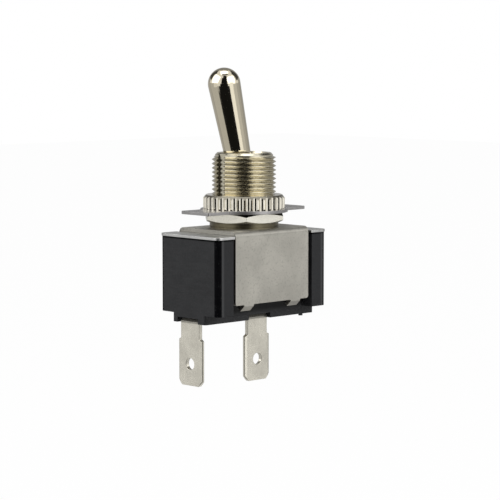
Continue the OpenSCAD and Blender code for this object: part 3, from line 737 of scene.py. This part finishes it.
# %% Nylon and fibre
def nylon(name, color):
    """Moulded nylon: a soft cloud in the tone and a very fine grain."""
    finish = Finish(name, color, 0.0, 0.36)
    cloud = finish.noise(0.9, detail=3.0)
    grain = finish.noise(8.0, detail=2.0)
    finish.feed(
        Base_Color=finish.mix(cloud, color, scaled(color, 0.86)),
        Roughness=0.32 + grain * 0.12,
    )
    finish.bump(grain, 0.006)
    return finish.made


def pressed_fibre():
    """Brown fibre sheet, in which threads cross."""
    finish = Finish("pressed fibre", (0.24, 0.13, 0.06), 0.0, 0.7)
    threads = finish.noise(6.0, detail=4.0, along=(0.3, 2.0, 1.0))
    cross = finish.noise(6.0, detail=4.0, along=(2.0, 0.3, 1.0))
    web = threads * cross
    finish.feed(
        Base_Color=finish.mix(web.held(), (0.17, 0.09, 0.045), (0.36, 0.22, 0.11)),
        Roughness=0.62 + web * 0.3,
    )
    finish.bump(web, 0.02)
    return finish.made


nylon_plunger = nylon("nylon plunger", (0.80, 0.76, 0.64))
nylon_saddle = nylon("nylon saddle", (0.74, 0.71, 0.60))
fibre_card = pressed_fibre()
print(nylon_plunger.name, "|", nylon_saddle.name, "|", fibre_card.name)

# %% [markdown]
# ## From a solid to a finished piece
#
# A CAD solid has mathematically sharp edges, which never catch the light. On the real
# switch every edge is a little round: a die or a mould leaves it so. The helper below
# merges the points of a solid's copy, joins the triangles that lie in one plane, and
# rounds the edges by about a tenth of a millimetre. The copy then stands for the solid,
# which itself is never changed.

# %% Copy a solid and round its edges
MERGE_WITHIN = 0.0004 * MM
FLAT_WITHIN = math.radians(0.3)


def merged_copy(node, name):
    """A mesh with the shape of a solid, its points merged and its flat faces whole."""
    source = frame["nodes"][node].data.copy()
    if "custom_normal" in source.attributes:
        source.attributes.remove(source.attributes["custom_normal"])
    work = bmesh.new()
    work.from_mesh(source)
    bmesh.ops.remove_doubles(work, verts=work.verts, dist=MERGE_WITHIN)
    bmesh.ops.dissolve_limit(
        work, angle_limit=FLAT_WITHIN, verts=work.verts, edges=work.edges
    )
    mesh = bpy.data.meshes.new(name)
    work.to_mesh(mesh)
    work.free()
    bpy.data.meshes.remove(source)
    mesh.materials.clear()
    return mesh


def show(name, mesh):
    """Puts a mesh into the scene as an object."""
    thing = bpy.data.objects.new(name, mesh)
    scene.collection.objects.link(thing)
    return thing


def settle(thing):
    """Turns an object with modifiers into a plain mesh without them."""
    view = bpy.context.evaluated_depsgraph_get()
    mesh = bpy.data.meshes.new_from_object(thing.evaluated_get(view), depsgraph=view)
    thing.modifiers.clear()
    thing.data = mesh


def round_edges(thing, width_mm, steps=2, angle=30):
    """Rounds every edge that turns more than an angle."""
    for face in thing.data.polygons:
        face.use_smooth = True
    bevel = thing.modifiers.new("edges", "BEVEL")
    bevel.limit_method = "ANGLE"
    bevel.angle_limit = math.radians(angle)
    bevel.width = width_mm * MM
    bevel.segments = steps
    bevel.harden_normals = True
    bevel.miter_outer = "MITER_ARC"
    settle(thing)


def smooth(thing, angle):
    """Shades a piece smooth, but keeps its real edges sharp."""
    mesh = thing.data
    for face in mesh.polygons:
        face.use_smooth = True
    mesh.set_sharp_from_angle(angle=math.radians(angle))


def dress(thing, node, finish):
    """Gives a piece its finish, and lets it stand for a solid on the same body."""
    thing.data.materials.clear()
    thing.data.materials.append(finish)
    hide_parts(node)
    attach(thing, frame["nodes"][node]["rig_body"])
    count = sum(len(face.vertices) - 2 for face in thing.data.polygons)
    print("%-16s for %-16s %6d triangles" % (thing.name, node, count))
    return thing


def second_skin(thing, finish, chosen):
    """Gives a second finish to the faces for which a test on (centre, normal) holds."""
    mesh = thing.data
    mesh.materials.append(finish)
    count = 0
    for face in mesh.polygons:
        if chosen(face.center, face.normal):
            face.material_index = len(mesh.materials) - 1
            count += 1
    print("%-16s %s on %d faces" % (thing.name, finish.name, count))


def soft_copy(node, name, width_mm, finish, steps=2, angle=30):
    """A dressed copy of a solid with rounded edges."""
    thing = show(name, merged_copy(node, name))
    round_edges(thing, width_mm, steps, angle)
    return dress(thing, node, finish)


# %% [markdown]
# ## Moulded and blanked pieces
#
# Base, cover, yoke, legend plate, back nut and blades keep the outlines of their
# solids. A moulded edge is rounder than a blanked one, so each gets its own width.

# %% Base, cover and yoke
CORNER_REACH = 1.15 * MM


def is_corner(centre, normal):
    """The rounded upright corners."""
    end_gap = base_high.x - abs(centre.x)
    side_gap = base_high.y - abs(centre.y)
    slanted = min(abs(normal.x), abs(normal.y)) > 0.12 and abs(normal.z) < 0.3
    return slanted and max(end_gap, side_gap) < CORNER_REACH


moulded_base = soft_copy("base_housing", "moulded_base", 0.10, thermoset)
# Painted dark reflection: the rounded corners take the darker copy.
second_skin(moulded_base, dark_corner_thermoset, is_corner)
soft_copy("cover_plate", "cover_sheet", 0.07, zinc_cover)
soft_copy("frame_yoke", "yoke_sheet", 0.09, zinc_yoke)
soft_copy("insulator_card", "card_sheet", 0.04, fibre_card, 1)


# %% Legend plate and nuts
def leaning(lowest_rise, highest_rise):
    """A test for faces by how far they look up: 1 is straight up, -1 straight down."""
    return lambda centre, normal: lowest_rise < normal.z < highest_rise


soft_copy("legend_plate", "legend_sheet", 0.08, legend_grey)
back_nut = soft_copy("hex_back_nut", "back_nut", 0.06, hex_nickel, 2, 15)
# Painted shade: the back nut's upper cone, under the legend plate, takes the dark copy.
second_skin(back_nut, painted_dark_nickel, leaning(0.3, 0.97))
face_nut = soft_copy(
    "fluted_face_nut", "face_nut", 0.08, fluted_nickel, 3, 25
)
# Painted shade: the face nut's top cone faces take the dim copy.
second_skin(face_nut, painted_dim_nickel, leaning(0.25, 0.97))
# Painted shade: the face nut's lower chamfer takes the dark copy.
second_skin(face_nut, painted_dark_nickel, leaning(-0.97, -0.08))


# %% Blades
def edge_across(side, flat):
    """A test for the rounding between a blade's blanked side and its bevel, which is painted dark
    as a dark reflection.

    The side and the flat are the axes that they look along, 0 for X and 1 for Y.
    """
    def test(centre, normal):
        slanted = 0.45 < abs(normal[side]) < 0.97 and abs(normal[flat]) > 0.2
        return centre.z < base_bottom and slanted

    return test


line_blade = soft_copy("line_terminal", "line_blade", 0.10, blade_tin, 2, 20)
# Painted dark reflection on the blades' edge roundings.
second_skin(line_blade, painted_dark_nickel, edge_across(1, 0))
load_blade = soft_copy("load_terminal", "load_blade", 0.10, blade_tin, 2, 20)
second_skin(load_blade, painted_dark_nickel, edge_across(0, 1))

# %% Small pieces inside
soft_copy("line_rivet", "line_rivet_head", 0.12, rivet_brass)
soft_copy("load_rivet", "load_rivet_head", 0.12, rivet_brass)
soft_copy("fixed_contact", "fixed_button", 0.15, contact_silver, 3)
soft_copy("moving_contact", "moving_button", 0.15, contact_silver, 3)
soft_copy("pivot_pin", "pivot_rod", 0.12, pin_steel)
soft_copy("plunger", "plunger_rod", 0.06, nylon_plunger)
soft_copy("contact_rocker", "rocker_strip", 0.06, copper_strip)
soft_copy("rocker_saddle", "saddle_block", 0.08, nylon_saddle)

# %% [markdown]
# ## Geometry Nodes from a script
#
# A Geometry Nodes tree is a recipe with named inputs. The class below adds nodes and
# links in one call each, and a helper sets a modifier's input by its socket's
# identifier, because the modifier knows its inputs by that and not by their names.

# %% A small builder for node trees
class Recipe:
    """A Geometry Nodes tree with named inputs."""

    def __init__(self, name, inputs):
        self.tree = bpy.data.node_groups.new(name, "GeometryNodeTree")
        face = self.tree.interface
        face.new_socket("Geometry", in_out="INPUT", socket_type="NodeSocketGeometry")
        for label, kind in inputs.items():
            face.new_socket(label, in_out="INPUT", socket_type="NodeSocket" + kind)
        face.new_socket("Geometry", in_out="OUTPUT", socket_type="NodeSocketGeometry")
        self.start = self.tree.nodes.new("NodeGroupInput")
        self.end = self.tree.nodes.new("NodeGroupOutput")

    def take(self, label):
        """The socket of an input."""
        return self.start.outputs[label]

    def add(self, kind, settings=None, **values):
        """Adds a node: its settings first, then the values or links of its sockets."""
        node = self.tree.nodes.new(kind)
        for name, value in (settings or {}).items():
            setattr(node, name, value)
        for name, value in values.items():
            socket = node.inputs[name.replace("_", " ")]
            if isinstance(value, bpy.types.NodeSocket):
                self.tree.links.new(value, socket)
            else:
                socket.default_value = value
        return node.outputs[0]

    def sum(self, operation, first, second):
        """Adds a Math node. Each operand is a socket or a number."""
        node = self.tree.nodes.new("ShaderNodeMath")
        node.operation = operation
        for index, value in enumerate((first, second)):
            if isinstance(value, bpy.types.NodeSocket):
                self.tree.links.new(value, node.inputs[index])
            else:
                node.inputs[index].default_value = value
        return node.outputs[0]

    def vector(self, **parts):
        """A vector from its parts."""
        return self.add("ShaderNodeCombineXYZ", **parts)

    def finish(self, geometry):
        """Ends the recipe: the geometry made real and given its material."""
        whole = self.add("GeometryNodeRealizeInstances", Geometry=geometry)
        skinned = self.add(
            "GeometryNodeSetMaterial", Geometry=whole, Material=self.take("Finish")
        )
        self.tree.links.new(skinned, self.end.inputs[0])
        return self


def run_recipe(thing, recipe, values):
    """Runs a recipe on an object with the values of its inputs, and settles the mesh."""
    modifier = thing.modifiers.new(recipe.tree.name, "NODES")
    modifier.node_group = recipe.tree
    for item in recipe.tree.interface.items_tree:
        if item.in_out == "INPUT" and item.name in values:
            modifier[item.identifier] = values[item.name]
    settle(thing)


# %% [markdown]
# ## The screw thread
#
# A die cuts a thread by following a helix, and this recipe does the same. A spiral
# curve runs round the bushing and climbs one pitch a turn. A trapezoid that points at
# the axis travels along it and makes the cutter, and a boolean takes it out of the
# copy of the solid. The keyway, the bore and the collar stay as the solid has them.
# The profile is the standard 60 degree one.

# %% Recipe for a cut thread
FLANK = math.radians(30)
# How far the cutter stands out past the crests
SPARE = 0.03 * MM


def thread_recipe():
    """Cuts a screw thread into the geometry that it gets."""
    recipe = Recipe(
        "cut thread",
        {
            "Pitch": "Float",
            "Crest Radius": "Float",
            "Depth": "Float",
            "Crest Flat": "Float",
            "Root Flat": "Float",
            "Start": "Float",
            "Turns": "Float",
            "Phase": "Float",
            "Finish": "Material",
        },
    )
    depth = recipe.take("Depth")
    tall = recipe.sum("ADD", depth, SPARE)
    outer = recipe.sum("SUBTRACT", recipe.take("Pitch"), recipe.take("Crest Flat"))
    outer = recipe.sum("ADD", outer, 2 * SPARE * math.tan(FLANK))
    profile = recipe.add(
        "GeometryNodeCurvePrimitiveQuadrilateral",
        {"mode": "TRAPEZOID"},
        Bottom_Width=recipe.take("Root Flat"),
        Top_Width=outer,
        Height=tall,
        Offset=0.0,
    )
    profile = recipe.add(
        "GeometryNodeTransform", Geometry=profile, Rotation=(0, 0, math.pi / 2)
    )
    middle = recipe.sum("SUBTRACT", recipe.take("Crest Radius"), depth)
    middle = recipe.sum("ADD", middle, recipe.sum("MULTIPLY", tall, 0.5))
    climb = recipe.sum("MULTIPLY", recipe.take("Pitch"), recipe.take("Turns"))
    spiral = recipe.add(
        "GeometryNodeCurveSpiral",
        Resolution=72,
        Rotations=recipe.take("Turns"),
        Start_Radius=middle,
        End_Radius=middle,
        Height=climb,
        Reverse=False,
    )
    upright = recipe.add("GeometryNodeSetCurveNormal", {"mode": "Z_UP"}, Curve=spiral)
    cutter = recipe.add(
        "GeometryNodeCurveToMesh", Curve=upright, Profile_Curve=profile, Fill_Caps=True
    )
    cutter = recipe.add(
        "GeometryNodeTransform",
        Geometry=cutter,
        Translation=recipe.vector(Z=recipe.take("Start")),
        Rotation=recipe.vector(Z=recipe.take("Phase")),
    )
    boolean = recipe.tree.nodes.new("GeometryNodeMeshBoolean")
    boolean.operation = "DIFFERENCE"
    boolean.solver = "MANIFOLD"
    recipe.tree.links.new(recipe.take("Geometry"), boolean.inputs["Mesh 1"])
    recipe.tree.links.new(cutter, boolean.inputs["Mesh 2"])
    return recipe.finish(boolean.outputs[0])


cut_thread = thread_recipe()
print("thread recipe nodes:", len(cut_thread.tree.nodes))

# %% Cut the bushing's thread
INCH = 25.4 * MM
PITCH = INCH / 32
THREAD_DEPTH = 0.52 * MM
CREST_FLAT = 0.09 * MM
ROOT_FLAT = 0.05 * MM
# A crest passes this height at this turn from the X axis
CREST_AT = 12.96 * MM
CREST_TURN = math.radians(136)
# The thread starts inside the face nut, where its end is out of sight
thread_low = ring_high - 1.2 * MM
turns = math.ceil((bushing_top - thread_low) / PITCH) + 0.5
phase = CREST_TURN - 2 * math.pi * ((CREST_AT - PITCH / 2 - thread_low) / PITCH)
bushing = show("threaded_stem", merged_copy("threaded_bushing", "threaded_stem"))
run_recipe(
    bushing,
    cut_thread,
    {
        "Pitch": PITCH,
        "Crest Radius": thread_r,
        "Depth": THREAD_DEPTH,
        "Crest Flat": CREST_FLAT,
        "Root Flat": ROOT_FLAT,
        "Start": thread_low,
        "Turns": turns,
        "Phase": phase,
        "Finish": bushing_nickel,
    },
)
smooth(bushing, 28)
dress(bushing, "threaded_bushing", bushing_nickel)

# %% [markdown]
# ## The handle
#
# The handle is turned: a ball at the pivot, a neck that widens towards the end and a
# round dome, with a hollow tail for the plunger. A polished surface shows every facet,
# so it is not a copy of the solid's triangles. Its radii are measured on the solid,
# and the outline is spun in fine steps.

# %% Measure the handle along its own axis
to_handle = Matrix.Rotation(half_throw, 4, "Y") @ Matrix.Translation(-pivot)
from_handle = to_handle.inverted()
handle_points = [to_handle @ v.co for v in frame["nodes"]["bat_lever"].data.vertices]


def radius_between(start_mm, end_mm):
    """The largest radius of the handle between two distances from the pivot."""
    inside = [p for p in handle_points if start_mm * MM <= p.z <= end_mm * MM]
    return max(math.hypot(p.x, p.y) for p in inside)


DOME_INSET = 0.003 * MM
dome_r = radius_between(15, 30)
dome_z = max(p.z for p in handle_points) - dome_r
# The smooth dome would stand out a little between the solid's flat facets
dome_r -= DOME_INSET
ball_r = radius_between(-2, 2)
tail_z = min(p.z for p in handle_points)
tail_r = radius_between(tail_z / MM, tail_z / MM + 2)
NEARLY = 0.02 * MM
on_ball = [p for p in handle_points if p.z > 0 and abs(p.length - ball_r) < NEARLY]
neck_z = max(p.z for p in on_ball)
neck_r = min(math.hypot(p.x, p.y) for p in on_ball if p.z > neck_z - NEARLY)
hollow = [p for p in handle_points if math.hypot(p.x, p.y) < tail_r - 0.4 * MM]
hollow = [p for p in hollow if p.z < -1 * MM]
hollow_r = max(math.hypot(p.x, p.y) for p in hollow)
hollow_z = max(p.z for p in hollow)
print("dome %.2f mm at %.2f mm, ball %.2f mm" % (dome_r / MM, dome_z / MM, ball_r / MM))
print("neck %.2f mm at %.2f mm" % (neck_r / MM, neck_z / MM))


# %% Turn the handle
def arc(radius, centre_z, start, end, step=3):
    """Points (radius, height) on an arc, with angles from the horizontal."""
    count = max(2, round(abs(end - start) / step))
    points = []
    for i in range(count + 1):
        angle = math.radians(start + (end - start) * i / count)
        points.append((radius * math.cos(angle), centre_z + radius * math.sin(angle)))
    return points


ON_AXIS = 1e-7


def turned(name, outline, steps=160):
    """Spins an outline of (radius, height) points round Z. Its ends are on the axis."""
    work = bmesh.new()
    rows = []
    for radius, height in outline:
        if radius < ON_AXIS:
            rows.append([work.verts.new((0, 0, height))])
        else:
            rows.append([
                work.verts.new((
                    radius * math.cos(2 * math.pi * i / steps),
                    radius * math.sin(2 * math.pi * i / steps),
                    height,
                ))
                for i in range(steps)
            ])
    for lower, upper in zip(rows, rows[1:]):
        for i in range(steps):
            j = (i + 1) % steps
            corners = [lower[i % len(lower)], lower[j % len(lower)]]
            corners += [upper[j % len(upper)], upper[i % len(upper)]]
            work.faces.new(list(dict.fromkeys(corners)))
    bmesh.ops.recalc_face_normals(work, faces=work.faces)
    mesh = bpy.data.meshes.new(name)
    work.to_mesh(mesh)
    work.free()
    return show(name, mesh)


ball_angle = math.degrees(math.atan2(neck_z, neck_r))
tail_angle = -math.degrees(math.acos(tail_r / ball_r))
EDGE = 0.25 * MM
LIP = 0.1 * MM
NECK_STEPS = 12
outline = [(0, hollow_z), (hollow_r - EDGE, hollow_z), (hollow_r, hollow_z - EDGE)]
outline += [(hollow_r, tail_z + LIP), (hollow_r + LIP, tail_z)]
outline += [(tail_r - EDGE, tail_z), (tail_r, tail_z + EDGE)]
outline += arc(ball_r, 0, tail_angle, ball_angle)
for step in range(1, NECK_STEPS):
    share = step / NECK_STEPS
    outline.append((neck_r + (dome_r - neck_r) * share, neck_z + (dome_z - neck_z) * share))
outline += arc(dome_r, dome_z, 0, 90, 2.5)[:-1]
outline.append((0, dome_z + dome_r))
handle = turned("bat_handle", outline)
handle.data.transform(from_handle)
smooth(handle, 40)
dress(handle, "bat_lever", handle_nickel)

# %% [markdown]
# ## The plunger's spring
#
# The solid of the spring is only the space that it fills. Here it is wire: a spiral
# with a round profile, made by a second recipe. It presses the plunger down, and the
# share of its length that it keeps when the plunger moves in is worked out at the end.

# %% Recipe for a coil spring
def coil_recipe():
    """Makes wire that runs up in turns. It takes no geometry."""
    recipe = Recipe(
        "coil spring",
        {
            "Coil Radius": "Float",
            "Wire Radius": "Float",
            "Length": "Float",
            "Turns": "Float",
            "Finish": "Material",
        },
    )
    spiral = recipe.add(
        "GeometryNodeCurveSpiral",
        Resolution=40,
        Rotations=recipe.take("Turns"),
        Start_Radius=recipe.take("Coil Radius"),
        End_Radius=recipe.take("Coil Radius"),
        Height=recipe.take("Length"),
    )
    wire = recipe.add(
        "GeometryNodeCurvePrimitiveCircle",
        {"mode": "RADIUS"},
        Resolution=12,
        Radius=recipe.take("Wire Radius"),
    )
    coil = recipe.add(
        "GeometryNodeCurveToMesh", Curve=spiral, Profile_Curve=wire, Fill_Caps=True
    )
    return recipe.finish(coil)


coil_spring = coil_recipe()
spring_points = [to_handle @ v.co for v in frame["nodes"]["plunger_spring"].data.vertices]
spring_low = min(p.z for p in spring_points)
spring_high = max(p.z for p in spring_points)
spring_length = spring_high - spring_low
SPRING_TURNS = 7.0
WIRE_R = 0.2 * MM
coil_r = max(math.hypot(p.x, p.y) for p in spring_points) - WIRE_R
spring = show("plunger_coil", bpy.data.meshes.new("plunger_coil"))
run_recipe(
    spring,
    coil_spring,
    {
        "Coil Radius": coil_r,
        "Wire Radius": WIRE_R,
        "Length": spring_length - 2 * WIRE_R,
        "Turns": SPRING_TURNS,
        "Finish": spring_steel,
    },
)
spring.data.transform(Matrix.Translation((0, 0, spring_low + WIRE_R)))
spring.data.transform(from_handle)
smooth(spring, 60)
dress(spring, "plunger_spring", spring_steel)
slide = max(abs(end) for end in joints["plunger_slide"]["range_m"])
keep = 1 - slide / spring_length
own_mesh(spring)
print("spring %.2f mm long" % (spring_length / MM))
